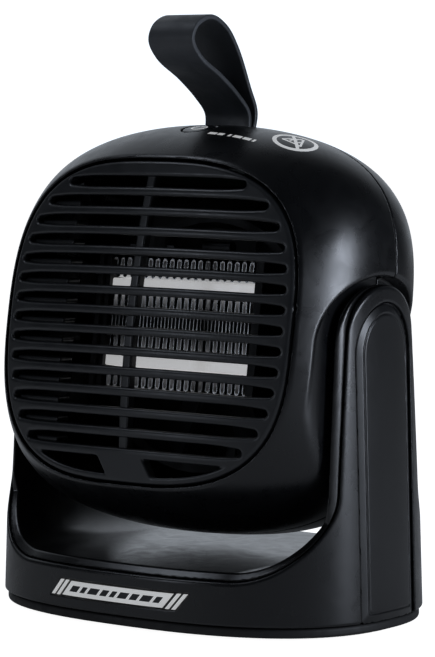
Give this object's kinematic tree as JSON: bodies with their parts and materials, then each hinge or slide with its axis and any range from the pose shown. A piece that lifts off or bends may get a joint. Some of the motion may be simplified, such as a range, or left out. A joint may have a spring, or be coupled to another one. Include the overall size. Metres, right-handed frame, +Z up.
{
  "type": "ceramic space heater",
  "caption": "Tabletop fan heater with a rounded louvred head that tilts between the two arms of its stand, a power button and a leather carry loop on top.",
  "frame": {"origin": "centre of the footprint, on the table", "axes": "+Z up, front of the heater towards -Y, +X to the right when seen from the front"},
  "size_m": [0.1592, 0.1084, 0.213],
  "materials": {
    "satin_black": "satin moulded ABS",
    "inner_black": "matt moulded plastic",
    "grille_black": "satin moulded plastic",
    "white_print": "printed plate",
    "rubber": "matt",
    "nylon": "natural nylon",
    "aluminium": "bright foil and extrusion",
    "steel": "zinc plated",
    "board": "solder mask",
    "strap_leather": "grained"
  },
  "bodies": {
    "stand": {"stand_shell": "satin_black", "cradle": "satin_black", "base_plate": "inner_black", "badge": "white_print", "cord_gland": "rubber", "tip_switch": "nylon", "side_cover_left": "satin_black", "side_cover_right": "satin_black", "pivot_pin_left": "steel", "pivot_pin_right": "steel", "friction_washer_left": "nylon", "friction_washer_right": "nylon", "foot_1": "rubber", "foot_2": "rubber", "foot_3": "rubber", "foot_4": "rubber", "base_screw_1": "steel", "base_screw_2": "steel", "base_screw_3": "steel", "base_screw_4": "steel"},
    "head": {"front_shell": "satin_black", "rear_shell": "satin_black", "front_grille": "grille_black", "air_duct": "inner_black", "element_end_left": "inner_black", "element_end_right": "inner_black", "thermal_cutout": "aluminium", "thermal_fuse": "white_print", "ceramic_bar_1": "aluminium", "ceramic_bar_2": "aluminium", "fin_pack_1": "aluminium", "fin_pack_2": "aluminium", "fin_pack_3": "aluminium", "fin_pack_4": "aluminium", "fin_pack_5": "aluminium", "fan_shroud": "inner_black", "fan_motor": "steel", "dust_filter": "inner_black", "control_board": "board", "button_switch": "inner_black", "warning_symbol": "white_print", "strap_anchor": "steel", "shell_screw_1": "steel", "shell_screw_2": "steel", "shell_screw_3": "steel", "shell_screw_4": "steel"},
    "fan": {"impeller": "grille_black", "fan_shaft": "steel"},
    "button": {"power_button": "satin_black"},
    "strap": {"strap": "strap_leather"}
  },
  "joints": [
    {"name": "head_tilt", "type": "hinge", "parent": "stand", "child": "head", "pos_m": [0, 0, 0.0959], "axis": [-1, 0, 0], "range_deg": [-18, 16]},
    {"name": "fan_spin", "type": "hinge", "parent": "head", "child": "fan", "pos_m": [0, 0, 0.0959], "axis": [0, 0.9885, -0.1513], "continuous": true},
    {"name": "button_press", "type": "slide", "parent": "head", "child": "button", "axis": [0, -0.1513, -0.9885], "range_m": [0, 0.0012], "stiffness_N_per_m": 600, "springref_m": -0.001},
    {"name": "strap_flex", "type": "hinge", "parent": "head", "child": "strap", "pos_m": [0, 0.01183, 0.1732], "axis": [1, 0, 0], "range_deg": [-20, 20], "stiffness_Nm_per_rad": 0.03}
  ]
}
